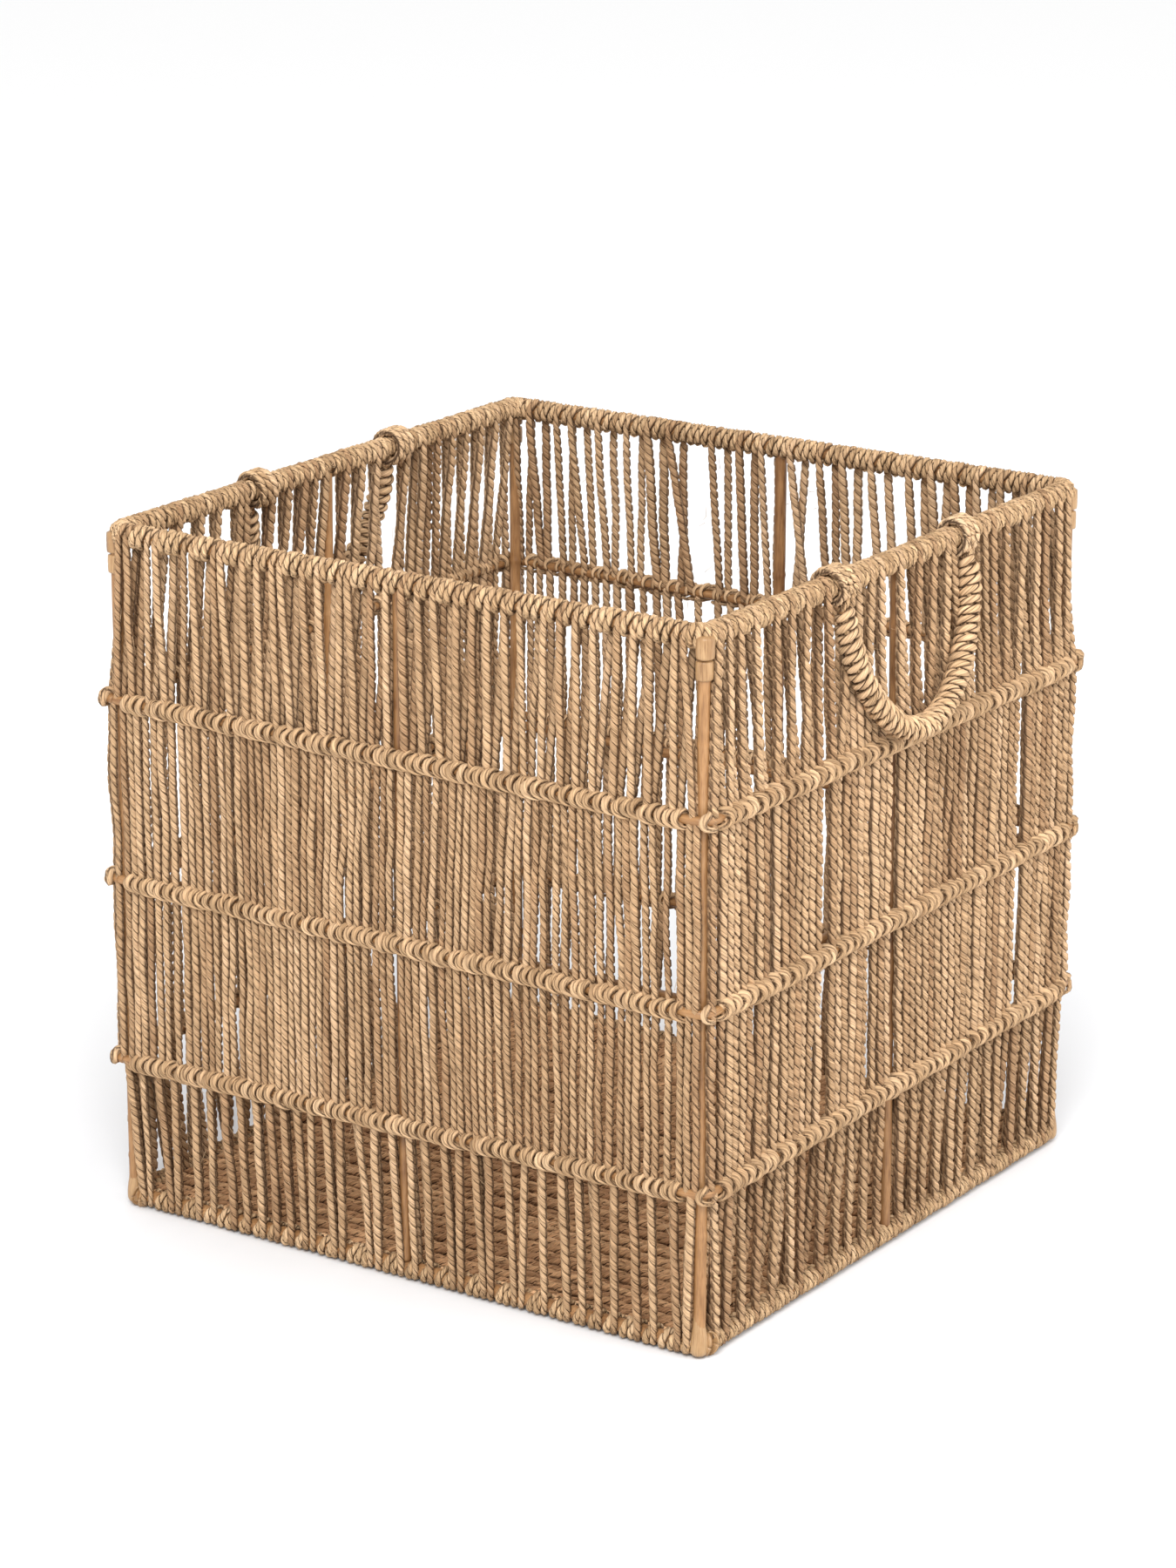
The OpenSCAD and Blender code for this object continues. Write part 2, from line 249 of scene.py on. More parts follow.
def mathNode(tree, operation, *values):
    # the result of one sum
    node = addNode(tree, "Math", dict(enumerate(values)), operation=operation)
    return node.outputs[0]


def scaleNode(tree, value, factor):
    # value times factor
    return mathNode(tree, "MULTIPLY", value, factor)


def noiseNode(tree, spot, scale, detail, roughness=0.5):
    # smooth noise at a place
    settings = {"Vector": spot, "Scale": scale, "Detail": detail, "Roughness": roughness}
    return addNode(tree, "TexNoise", settings).outputs[0]


def remapNode(tree, value, low, high, toLow, toHigh, **settings):
    # low..high stretched to toLow..toHigh
    spans = {"Value": value, "From Min": low, "From Max": high, "To Min": toLow, "To Max": toHigh}
    return addNode(tree, "MapRange", spans, **settings).outputs[0]


def joinNode(tree, x, y, z):
    # a place from its three values
    return addNode(tree, "CombineXYZ", {0: x, 1: y, 2: z}).outputs[0]


def rampNode(tree, factor, stops):
    # a colour band: stops are (place, colour)
    node = addNode(tree, "ValToRGB", {0: factor})
    band = node.color_ramp
    while len(band.elements) < len(stops):
        band.elements.new(0.5)
    for element, (place01, colour) in zip(band.elements, stops):
        element.position = place01
        element.color = (*colour, 1)
    return node.outputs[0]


def mixColour(tree, mode, factor, a, b):
    # two colours mixed in the given way
    node = tree.nodes.new("ShaderNodeMix")
    node.data_type = "RGBA"
    node.blend_type = mode
    for socket, value in ((node.inputs[0], factor), (node.inputs[6], a), (node.inputs[7], b)):
        if isinstance(value, bpy.types.NodeSocket):
            tree.links.new(value, socket)
        else:
            socket.default_value = value
    return node.outputs[2]


def srgb(r, g, b):
    # a colour as the eye sees it, 0 to 255, as the linear values that nodes take
    c = np.array((r, g, b)) / 255
    return tuple(float(x) for x in np.where(c <= 0.04045, c / 12.92, ((c + 0.055) / 1.055) ** 2.4))


fibreStops = [(0.36, (0.30, 0.25, 0.20)), (0.44, (0.80, 0.77, 0.73)), (0.52, (1.06, 1.05, 1.04)),
              (0.62, (1.52, 1.50, 1.48))]


def grassCord(name, hues, fibres=1.0, paintedGrooveShade=1.0, paintedContactShade=0.9, paintedContactShadeFrom=0.76, roughness=0.85):
    # Twisted dry grass. u goes round the cord once and v is centimetres along it. The shade of a place is
    # 0.5 tone + 0.6 slow noise, read off the hues from dark to light. Fibres run along the plies. Painted shade: the
    # grooves at u = 0.25 and 0.75 are painted dark in patches, and so
    # are the sides where the cord lies against its neighbours, as painted contact shade; both mix in one dark brown.
    material, tree, shader = makeMaterial(name, roughness, 0.22)
    split = addNode(tree, "SeparateXYZ", {0: addNode(tree, "UVMap", uv_map="UVMap").outputs[0]})
    u, v = split.outputs[0], split.outputs[1]
    tone = addNode(tree, "Attribute", attribute_name="tone").outputs["Fac"]
    contactShade = addNode(tree, "Attribute", attribute_name="contactShade").outputs["Fac"]
    angle = scaleNode(tree, u, 2 * math.pi)
    ringX, ringY = mathNode(tree, "COSINE", angle), mathNode(tree, "SINE", angle)
    along = mathNode(tree, "ADD", scaleNode(tree, v, 0.75 * fibres), scaleNode(tree, tone, 61.0))
    fibrePlace = joinNode(tree, scaleNode(tree, ringX, 4.2), scaleNode(tree, ringY, 4.2), along)
    fine = noiseNode(tree, fibrePlace, 1.1, 3.0, 0.65)
    coarse = noiseNode(tree, fibrePlace, 0.5, 2.0)
    fibre = mathNode(tree, "ADD", scaleNode(tree, fine, 0.6), scaleNode(tree, coarse, 0.4))
    driftPlace = joinNode(tree, scaleNode(tree, ringX, 0.8), scaleNode(tree, tone, 97.0), scaleNode(tree, v, 0.35))
    drift = noiseNode(tree, driftPlace, 1.0, 2.0, 0.6)
    shade = mathNode(tree, "ADD", scaleNode(tree, tone, 0.50), scaleNode(tree, drift, 0.60))
    base = rampNode(tree, shade, [(0.05 + 0.9 * n / (len(hues) - 1), h) for n, h in enumerate(hues)])
    fibreShade = rampNode(tree, fibre, fibreStops)
    coloured = mixColour(tree, "MULTIPLY", 1.0, base, fibreShade)
    # painted shade in the grooves between the plies; the same groove mask also lowers the bump height
    groove = remapNode(tree, mathNode(tree, "ABSOLUTE", ringX), 0.08, 0.30, 1.0, 0.0, interpolation_type="SMOOTHSTEP")
    patchy = remapNode(tree, noiseNode(tree, driftPlace, 9.0, 1.0), 0.38, 0.56, 0.7, 1.0)
    # painted contact shade: the sides where the cord lies against its neighbours are darkened
    contactShadeMask = remapNode(tree, contactShade, paintedContactShadeFrom, 1.0, 0.0, paintedContactShade, interpolation_type="SMOOTHSTEP")
    grooveShadeMask = scaleNode(tree, scaleNode(tree, groove, paintedGrooveShade), patchy)
    paintedShadeMask = mathNode(tree, "MAXIMUM", grooveShadeMask, contactShadeMask)
    # the dark brown of the painted shade, mixed in by the larger of the groove and contact shade masks
    colourWithPaintedShade = mixColour(tree, "MIX", paintedShadeMask, coloured, (*srgb(58, 38, 24), 1))
    tree.links.new(colourWithPaintedShade, shader.inputs["Base Color"])
    height = mathNode(tree, "SUBTRACT", fibre, mathNode(tree, "MULTIPLY", groove, 0.7))
    bump = addNode(tree, "Bump", {"Height": height, "Strength": 0.6, "Distance": 0.0006})
    tree.links.new(bump.outputs[0], shader.inputs["Normal"])
    return material


def caneUv(name, hues, roughness=0.42):
    # Smooth cane on a swept rod: fine lengthwise grain, brown flecks and slow changes of shade. u round, v in centimetres.
    material, tree, shader = makeMaterial(name, roughness, 0.45)
    uv = addNode(tree, "UVMap", uv_map="UVMap").outputs[0]
    split = addNode(tree, "SeparateXYZ", {0: uv})
    u, v = split.outputs[0], split.outputs[1]
    tone = addNode(tree, "Attribute", attribute_name="tone").outputs["Fac"]
    angle = scaleNode(tree, u, 2 * math.pi)
    ringX, ringY = mathNode(tree, "COSINE", angle), mathNode(tree, "SINE", angle)
    far = scaleNode(tree, tone, 53.0)
    grainRun = mathNode(tree, "ADD", scaleNode(tree, v, 0.35), far)
    grain = noiseNode(tree, joinNode(tree, scaleNode(tree, ringX, 3.0), scaleNode(tree, ringY, 3.0), grainRun),
                      2.6, 4.0, 0.6)
    blotchRun = mathNode(tree, "ADD", scaleNode(tree, v, 0.5), far)
    blotch = noiseNode(tree, joinNode(tree, ringX, ringY, blotchRun), 0.9, 3.0, 0.55)
    base = rampNode(tree, mathNode(tree, "ADD", scaleNode(tree, tone, 0.2), scaleNode(tree, blotch, 0.8)),
                    [(0.30 + 0.45 * n / (len(hues) - 1), h) for n, h in enumerate(hues)])
    grainShade = rampNode(tree, grain, [(0.30, (0.62, 0.54, 0.46)), (0.47, (0.95, 0.94, 0.92)), (0.70, (1.10, 1.10, 1.08))])
    tree.links.new(mixColour(tree, "MULTIPLY", 1.0, base, grainShade), shader.inputs["Base Color"])
    bump = addNode(tree, "Bump", {"Height": grain, "Strength": 0.25, "Distance": 0.0004})
    tree.links.new(bump.outputs[0], shader.inputs["Normal"])
    return material


def caneSolid(name, hues, roughness=0.5):
    # Cane on a plain solid: blotches and grain from the place in the object
    material, tree, shader = makeMaterial(name, roughness, 0.4)
    spot = addNode(tree, "TexCoord").outputs["Object"]
    blotch = noiseNode(tree, spot, 60.0, 4.0, 0.6)
    grain = noiseNode(tree, spot, 900.0, 3.0, 0.6)
    base = rampNode(tree, blotch, [(0.30 + 0.4 * n / (len(hues) - 1), h) for n, h in enumerate(hues)])
    grainShade = rampNode(tree, grain, [(0.3, (0.7, 0.64, 0.58)), (0.6, (1.06, 1.05, 1.04))])
    tree.links.new(mixColour(tree, "MULTIPLY", 1.0, base, grainShade), shader.inputs["Base Color"])
    bump = addNode(tree, "Bump", {"Height": grain, "Strength": 0.2, "Distance": 0.0003})
    tree.links.new(bump.outputs[0], shader.inputs["Normal"])
    return material


def nailSteel(name):
    # dull wire: bright metal with rust-brown patches
    material, tree, shader = makeMaterial(name, 0.45, 0.5)
    shader.inputs["Metallic"].default_value = 0.9
    spot = addNode(tree, "TexCoord").outputs["Object"]
    stain = noiseNode(tree, spot, 700.0, 3.0)
    tree.links.new(rampNode(tree, stain, [(0.4, srgb(120, 112, 104)), (0.7, srgb(98, 74, 56))]), shader.inputs["Base Color"])
    return material


cordColours = {
    "wall": [srgb(118, 91, 65), srgb(152, 120, 89), srgb(168, 137, 104), srgb(183, 152, 118), srgb(204, 172, 139)],
    "winding": [srgb(140, 110, 78), srgb(167, 136, 102), srgb(184, 153, 117), srgb(195, 164, 128), srgb(210, 180, 145)],
    "hitches": [srgb(134, 105, 74), srgb(162, 131, 98), srgb(178, 147, 112), srgb(190, 158, 123), srgb(204, 175, 140)],
    # painted light: the floor cord hues are paler than the wall's to make up for the light that falls short inside the
    # basket
    "floor": [srgb(128, 94, 64), srgb(163, 123, 89), srgb(189, 147, 108), srgb(210, 168, 126), srgb(229, 187, 144)],
    "handle": [srgb(149, 117, 84), srgb(175, 143, 108), srgb(192, 160, 123), srgb(203, 171, 136), srgb(214, 186, 151)],
    "cane": [srgb(116, 78, 46), srgb(142, 103, 65), srgb(162, 120, 78), srgb(175, 135, 93)],
    "peel": [srgb(145, 110, 74), srgb(164, 129, 90), srgb(180, 145, 105), srgb(167, 132, 94)],
}
# each grass cord material below sets how strong its painted shade is in the ply grooves and along the sides where cords
# touch
wallCordMaterial = grassCord("wall_cord", cordColours["wall"])
fibreMaterial = grassCord("loose_fibre", cordColours["winding"], paintedGrooveShade=0.0, paintedContactShade=0.0)
windingMaterial = grassCord("cord_winding", cordColours["winding"], paintedGrooveShade=0.95, paintedContactShade=1.0, paintedContactShadeFrom=0.76)
hitchMaterial = grassCord("cord_hitches", cordColours["hitches"], paintedGrooveShade=0.5, paintedContactShade=1.0, paintedContactShadeFrom=0.74)
floorMaterial = grassCord("floor_cord", cordColours["floor"])
handleMaterial = grassCord("handle_cord", cordColours["handle"], paintedGrooveShade=1.0, paintedContactShade=1.0, paintedContactShadeFrom=0.60)
caneMaterial = caneUv("cane", cordColours["cane"])
peelMaterial = caneUv("cane_peel", cordColours["peel"], 0.36)
caneSolidMaterial = caneSolid("cane_rod", cordColours["cane"])
steelMaterial = nailSteel("nail_steel")
print("materials made")


spacing = {
    "cordsPerWall": [70, 52, 44, 48],    # cords across each wall, two from each loop over the rim
    "cordMargin": -0.5 * mm,     # first cord to the corner
    "closest": [5.2 * mm, 6.4 * mm, 6.8 * mm, 7.2 * mm],    # closest that two cords stand
    "wideShare": 0.20,           # share of the gaps between cords that are wide
    "drift": [0.34, 0.26, 0.12, 0.12],    # how far a cord's two ends go their own way, 0 to 1
    "openWidth": 11.5 * mm,      # free width of the far walls' gaps
    "openApart": 20 * mm,
    "eye": (1.697, -2.513),      # where the near walls' gaps line up with the far walls'
    "windPitch": 5.8 * mm,       # pitch of the turns round the rims
    "windMargin": 9.0 * mm,
    "handleSpot": 76 * mm,       # the handles' loops, where no cord goes over the rim
    "handleClear": 9.5 * mm,
}
rng = np.random.default_rng(11)


def spreadAlong(count, half, closest, rng):
    # count places from -half to half: every gap is the closest one plus its share of the spare length, most of
    # which goes to the wide gaps
    wide = rng.random(count - 1) < spacing["wideShare"]
    share = np.where(wide, rng.uniform(0.5, 1.4, count - 1), rng.uniform(0.0, 0.24, count - 1))
    gap = closest + share / share.sum() * (2 * half - closest * (count - 1))
    return np.concatenate(([0.0], np.cumsum(gap))) - half


def openBehind(gaps, k):
    # The places on wall k that stand behind the gaps of the two near walls, as seen from the front right: from the eye e through the
    # gap p the line goes on to e + (p - e) q, with q such that its distance out of wall k is halfOut.
    eye = np.array(spacing["eye"])
    found = []
    for near in (0, 1):
        p = place(near, gaps[near], 0.0, 0.0)[:, :2]
        q = (halfOut[k] - eye @ outOfWall[k][:2]) / ((p - eye) @ outOfWall[k][:2])
        found.append((eye + (p - eye) * q[:, None]) @ alongWall[k][:2])
    u = np.sort(np.concatenate(found))
    u = u[np.abs(u) < halfRun[k] - spacing["openWidth"]]
    kept = []
    for spot in u:
        if not kept or spot - kept[-1] > spacing["openApart"]:
            kept.append(spot)
    return np.array(kept)


def spreadRound(count, half, openings, width, rng):
    # count places from -half to half that leave the openings free: each stretch between them gets its share of the places, evenly
    starts = np.concatenate(([-half], openings + width / 2))
    stops = np.concatenate((openings - width / 2, [half]))
    share = np.cumsum(stops - starts) / (stops - starts).sum() * count
    numbers = np.diff(np.round(np.concatenate(([0], share)))).astype(int)
    inner = [np.linspace(a, b, n) if n > 1 else np.full(n, (a + b) / 2) for a, b, n in zip(starts, stops, numbers)]
    return np.concatenate(inner) + rng.normal(0, 0.15 * mm, count)


def hoopPlaces():
    # The places of the cords at each hoop and wall: a shared spread mixed with one of the hoop's own. The far walls are open where
    # the near ones are.
    places = []
    gaps = []
    for k in range(4):
        half = halfRun[k] - spacing["cordMargin"]
        count, drift = spacing["cordsPerWall"][k], spacing["drift"][k]
        if k < 2:
            shared = spreadAlong(count, half, spacing["closest"][k], rng)
            step = np.diff(shared)
            gaps.append(((shared[1:] + shared[:-1]) / 2)[step > spacing["closest"][k] * 1.35])
        else:
            shared = spreadRound(count, half, openBehind(gaps, k), spacing["openWidth"], rng)
        own = [spreadAlong(count, half, spacing["closest"][k], rng) for h in range(3)]
        places.append([(1 - drift) * shared + drift * o for o in own])
    return places


cordPlaces = hoopPlaces()    # [wall][hoop] -> places


def windPlaces(k, hoopU, rng, avoidHandles):
    # The rim's turns stand one pitch apart. Each loop of cord takes the free turn nearest to its pair of cords at the hoop;
    # the turns that are left are plain windings.
    half = halfRun[k] - spacing["windMargin"]
    turns = int(round(2 * half / spacing["windPitch"]))
    grid = np.linspace(-half, half, turns) + rng.normal(0, 0.25 * mm, turns)
    if avoidHandles:
        grid = grid[np.abs(np.abs(grid) - spacing["handleSpot"]) > spacing["handleClear"]]
    middle = np.sort(hoopU.reshape(-1, 2).mean(axis=1) + rng.normal(0, 2.0 * mm, len(hoopU) // 2))
    wanted = np.abs(grid[None, :] - middle[:, None]).argmin(axis=1)
    order = np.arange(len(middle))
    taken = np.maximum.accumulate(wanted - order) + order
    over = np.minimum(taken, len(grid) - len(middle) + order)
    plain = np.setdiff1d(np.arange(len(grid)), over)
    return grid[over], grid[plain]


cords = {
    "radius": [2.62 * mm, 3.35 * mm, 2.95 * mm, 3.3 * mm],    # on each wall
    "unevenness": 0.07,
    "lay": [12.8 * mm, 14.5 * mm, 13.5 * mm, 14.0 * mm],
    "ring": 2.0 * mm,            # distance between the rings of points along a cord
    "plane": 7.0 * mm,           # how far out of the rim's middle the straight cords stand
    "windRadius": 5.7 * mm,      # from the rim's middle to the middle of a turn of cord
    "pinch": 0.16,               # how much thinner a cord is on the rim
    "slant": 6.6 * mm,           # how far along the rim a turn goes from outside to inside
    "topRadius": [2.9 * mm, 3.25 * mm, 3.1 * mm, 3.25 * mm],
    "turnRadius": 2.75 * mm,
    "tuckTop": [0.9, 0.0, 0.3, 0.0],
    "tuckFoot": [1.0, 0.7, 0.7, 0.5],
}
cordOutline = lobes(2, 0.74)


def straightBand(k, low, seed):
    # Cords between hoop low and the next one up: straight lines from place to place with a slight sway
    rng = np.random.default_rng(seed)
    count = spacing["cordsPerWall"][k]
    a, b = cordPlaces[k][low], cordPlaces[k][low + 1]
    za, zb = hoopHeight(low, k, a), hoopHeight(low + 1, k, b)
    rings = int((zb - za).mean() / cords["ring"])
    t = np.linspace(0, 1, rings)[None, :]
    u = a[:, None] * (1 - t) + b[:, None] * t + waver(rng, count, t, 0.6 * mm)
    w = cords["plane"] + waver(rng, count, t, 0.5 * mm) + rng.normal(0, 0.25 * mm, (count, 1))
    z = za[:, None] * (1 - t) + zb[:, None] * t
    radius = cords["radius"][k] * (1 + rng.normal(0, cords["unevenness"], (count, 1)) + waver(rng, count, t, 0.06))
    return sweep(place(k, u, w, z), alongWall[k], cordOutline, radius, cords["lay"][k],
                 rng.random(count) * phaseRange, rng.random(count))


def loopedBand(k, hoop, railZ, rodWind, seed, avoidHandles, tuck):
    # Cords that run from a hoop over a rim and back: straight outside the wall, half a turn round the rim, and straight down inside.
    # rise is +1 for the top rim and -1 for the bottom one. With tuck 1 the inner leg starts behind the outer one, with 0 beside it.
    rng = np.random.default_rng(seed)
    rise = 1.0 if railZ > hoopHeight(hoop, k, 0.0) else -1.0
    pairs = cordPlaces[k][hoop].reshape(-1, 2)
    over, plain = windPlaces(k, cordPlaces[k][hoop], rng, avoidHandles)
    swap = rng.random(len(pairs)) < 0.12
    outer = np.where(swap, pairs[:, 1], pairs[:, 0])
    inner = np.where(swap, pairs[:, 0], pairs[:, 1])
    outer = outer * (1 - tuck) + pairs.mean(axis=1) * tuck
    inner = inner * (1 - tuck) + (outer + rng.normal(-1.0 * mm + rise * 1.6 * mm, 1.4 * mm, len(pairs))) * tuck
    count = len(over)
    zo, zi = hoopHeight(hoop, k, outer), hoopHeight(hoop, k, inner)
    leg = int(abs(railZ - zo).mean() / cords["ring"])
    arc = 10
    t = np.linspace(0, 1, leg)[None, :]
    slant = cords["slant"] * rise
    uOut = over[:, None] - slant * 0.35
    uIn = over[:, None] + slant * 0.65
    legOut = [outer[:, None] * (1 - t) + uOut * t + waver(rng, count, t, 0.4 * mm),
              cords["plane"] * (1 - t) + rodWind * t + waver(rng, count, t, 0.25 * mm),
              zo[:, None] * (1 - t) + railZ * t]
    legIn = [uIn * (1 - t) + inner[:, None] * t + waver(rng, count, t, 0.4 * mm),
             -rodWind * (1 - t) + (cords["plane"] - 4.2 * mm * tuck) * t + waver(rng, count, t, 0.25 * mm),
             railZ * (1 - t) + zi[:, None] * t]
    clear = smooth((9 * mm - np.abs(legIn[0])) / (4 * mm)) * smooth((6.5 * mm - legIn[1]) / (3 * mm))
    legIn[0] = legIn[0] + np.sign(legIn[0] + 1e-9) * clear * np.maximum(7.4 * mm - np.abs(legIn[0]), 0)
    bend = np.linspace(0, math.pi, arc)[None, 1:-1]
    overArc = [uOut + (uIn - uOut) * bend / math.pi + 0 * over[:, None],
               rodWind * np.cos(bend) + 0 * over[:, None],
               railZ + rise * rodWind * np.sin(bend) + 0 * over[:, None]]
    u, w, z = (np.concatenate((a + 0 * b[:, :1], b, c), axis=1) for a, b, c in zip(legOut, overArc, legIn))
    radius = cords["topRadius"][k] * (1 + rng.normal(0, cords["unevenness"], (count, 1))) * (
        1 - cords["pinch"] * np.exp(-((z - railZ) / (11 * mm)) ** 2))
    tones = rng.random(count)
    looped = sweep(place(k, u, w, z), alongWall[k], cordOutline, radius, cords["lay"][k],
                   rng.random(count) * phaseRange, tones)
    turns = [plainTurns(k, plain, railZ, rodWind, rise, rng)]
    if avoidHandles:
        under = np.concatenate([side * spacing["handleSpot"] + np.linspace(-8.2, 8.2, 4) * mm for side in (-1, 1)])
        turns.append(plainTurns(k, under, railZ, rodWind - 0.6 * mm, rise, rng, 0.88))
    return looped, turns


def plainTurns(k, middles, railZ, rodWind, rise, rng, thickness=1.0):
    # Plain windings: one slanting turn each round the rim, from under it on the inside and back to there
    count = len(middles)
    t = np.linspace(-2.15, 4.05, 21)[None, :]
    u = middles[:, None] + cords["slant"] * rise * (t - math.pi / 2) / math.pi * 0.9
    reach = rodWind * (1 + rng.normal(0, 0.02, (count, 1)))
    w = reach * np.cos(t)
    z = railZ + rise * reach * np.sin(t)
    radius = cords["turnRadius"] * thickness * (0.98 + rng.normal(0, 0.05, (count, 1))) + 0 * t
    return sweep(place(k, u, w, z), alongWall[k], cordOutline, radius, cords["lay"][k],
                 rng.random(count) * phaseRange, rng.random(count))


def cornerTurns(k, railZ, rodWind, rise, bend, seed):
    # Windings round the rim's bend at the far end of wall k, closer together than on the straight
    rng = np.random.default_rng(seed)
    half = halfRun[k] - bend
    middles = half + bend * math.pi / 2 * (np.arange(4) + 0.5) / 4
    t = np.linspace(-2.15, 4.05, 21)[None, :]
    s = middles[:, None] + 1.8 * mm * (t - math.pi / 2) / math.pi
    reach = rodWind * (1 + rng.normal(0, 0.02, (4, 1)))
    z = railZ + rise * reach * np.sin(t)
    radius = cords["turnRadius"] * (1.02 + rng.normal(0, 0.04, (4, 1))) + 0 * t
    return sweep(placeOnRing(k, s, reach * np.cos(t), z, 0.0, bend), alongWall[k], cordOutline, radius, cords["lay"][k],
                 rng.random(4) * phaseRange, rng.random(4))


rimBend = 8.5 * mm
for k, wallName in enumerate(wallNames):
    topLoops, topTurns = loopedBand(k, 2, rimZ, cords["windRadius"], 100 + k, k % 2 == 1, cords["tuckTop"][k])
    lowLoops, lowTurns = loopedBand(k, 0, footZ, footZ - cords["topRadius"][k] * 1.1, 200 + k, False, cords["tuckFoot"][k])
    addBasketPiece(f"cords_{wallName}_top_loops", [topLoops], wallCordMaterial, "wall_cord", f"cords_{wallName}_top")
    addBasketPiece(f"rim_turns_{wallName}", topTurns, windingMaterial, "cord_winding", f"rim_wrap_{wallName}")
    addBasketPiece(f"cords_{wallName}_bottom_loops", [lowLoops], wallCordMaterial, "wall_cord", f"cords_{wallName}_bottom")
    addBasketPiece(f"foot_turns_{wallName}", lowTurns, windingMaterial, "cord_winding", f"base_wrap_{wallName}")
    addBasketPiece(f"cords_{wallName}_lower_strands", [straightBand(k, 0, 300 + k)], wallCordMaterial, "wall_cord",
                   f"cords_{wallName}_lower")
    addBasketPiece(f"cords_{wallName}_upper_strands", [straightBand(k, 1, 400 + k)], wallCordMaterial, "wall_cord",
                   f"cords_{wallName}_upper")
addBasketPiece("rim_corner_turns", [cornerTurns(k, rimZ, cords["windRadius"], 1.0, rimBend, 250 + k) for k in range(4)],
               windingMaterial, "cord_winding", "rim_corner_wraps")


looseEnds = {
    "perWall": 150,
    "radius": 0.16 * mm,
    "shortest": 5 * mm,
    "longest": 15 * mm,
    "standOut": 2.6 * mm,        # how far a fibre's end stands out from the cords
}


def looseFibres(k, seed):
    # Frayed fibres: each starts on a cord's face and bends out; its place along the fibre is start + length t direction + curl t^2
    rng = np.random.default_rng(seed)
    count = looseEnds["perWall"]
    t = np.linspace(0, 1, 6)[None, :]
    length = rng.uniform(looseEnds["shortest"], looseEnds["longest"], (count, 1))
    angle = rng.normal(-0.5, 0.5, (count, 1)) + math.pi * (rng.random((count, 1)) < 0.5)
    u = rng.uniform(-halfRun[k] + 6 * mm, halfRun[k] - 6 * mm, (count, 1)) + length * np.sin(angle) * t + rng.normal(0, 2 * mm, (count, 1)) * t ** 2
    z = rng.uniform(0.03, rimZ - 0.02, (count, 1)) + length * np.cos(angle) * t + rng.normal(0, 2 * mm, (count, 1)) * t ** 2
    w = cords["plane"] + 2.4 * mm + looseEnds["standOut"] * rng.random((count, 1)) * t ** 2
    radius = looseEnds["radius"] * (1.2 - 0.9 * t) + 0 * u
    return sweep(place(k, u, w, z), alongWall[k], roundOutline(3), radius, tone=rng.uniform(0.5, 1.0, count))


for k, wallName in enumerate(wallNames):
    addBasketPiece(f"loose_fibres_{wallName}", [looseFibres(k, 270 + k)], fibreMaterial, "wall_cord")
print("walls of cord made")


hitchShape = {
    "perWall": [67, 46, 58, 46],
    "closest": [5.9 * mm, 8.6 * mm, 6.8 * mm, 8.6 * mm],
    "radius": [2.35 * mm, 3.1 * mm, 2.5 * mm, 3.1 * mm],
    "lean": [0.85, -1.0, 1.0, -1.0],
    "margin": 12 * mm,           # first hitch to the corner
    "reach": 4.5 * mm,           # from the hoop's middle to the middle of the hitch
    "rings": 20,
    "angle": ([0, 0.18, 0.30, 0.50, 0.62, 0.82, 1.0], [205, 124, 78, 8, -34, -62, -125]),    # degrees about the hoop
    "sideways": ([0, 0.12, 0.25, 0.40, 0.50, 0.60, 0.72, 0.86, 1.0],
                 [3.0, 3.8, 2.6, -0.7, -1.6, -1.0, 1.9, 5.8, 8.4]),    # millimetres along the wall, times lean
    "lift": ([0, 0.2, 0.45, 0.60, 0.72, 0.86, 1.0], [-0.9, 0.0, 0.5, 1.0, 1.8, 1.6, 0.2]),    # more reach, times 0.8 mm
    "thickness": ([0, 0.14, 0.26, 0.42, 0.56, 0.70, 0.84, 1.0], [0.45, 0.62, 0.94, 1.18, 1.04, 0.72, 0.58, 0.36]),
    "lay": 36 * mm,
}


def hitchRow(h, k, seed):
    # A row of hitches. Each comes from behind the hoop over its top, bulges down the front as a leaf and runs off along the lower
    # edge. Its angle a about the hoop goes from 205 degrees (behind) through 90 (top) and 0 (front) to -125 (below); the place along
    # the wall and the thickness follow curves in the same t, and one groove between the plies runs down the leaf's middle.
    rng = np.random.default_rng(seed)
    half = halfRun[k] - hitchShape["margin"]
    spots = spreadAlong(hitchShape["perWall"][k], half, hitchShape["closest"][k], rng)
    spots = np.append(spots, halfRun[k] + hoopOut * math.pi / 4)      # and one on the bend
    count = len(spots)
    t = np.linspace(0, 1, hitchShape["rings"])[None, :]
    a = np.radians(np.interp(t, *hitchShape["angle"]))
    lean = np.interp(t, *hitchShape["sideways"]) * mm * hitchShape["lean"][k]
    u = spots[:, None] + lean * (1 + rng.normal(0, 0.25, (count, 1))) + rng.normal(0, 0.45 * mm, (count, 1))
    reach = hitchShape["reach"] * (1 + rng.normal(0, 0.04, (count, 1))) + np.interp(t, *hitchShape["lift"]) * 0.8 * mm
    w = reach * np.cos(a)
    z = hoopHeight(h, k, u) + reach * np.sin(a) * 0.98 + rng.normal(0, 0.35 * mm, (count, 1))
    thickness = np.interp(t, *hitchShape["thickness"])
    radius = hitchShape["radius"][k] * thickness * (1 + rng.normal(0, 0.09, (count, 1)))
    phase = rng.normal(-2.7, 0.35, count)
    return sweep(placeOnRing(k, u, w, z, hoopOut, hoopOut), alongWall[k], lobes(2, 0.72), radius, hitchShape["lay"], phase,
                 rng.random(count))


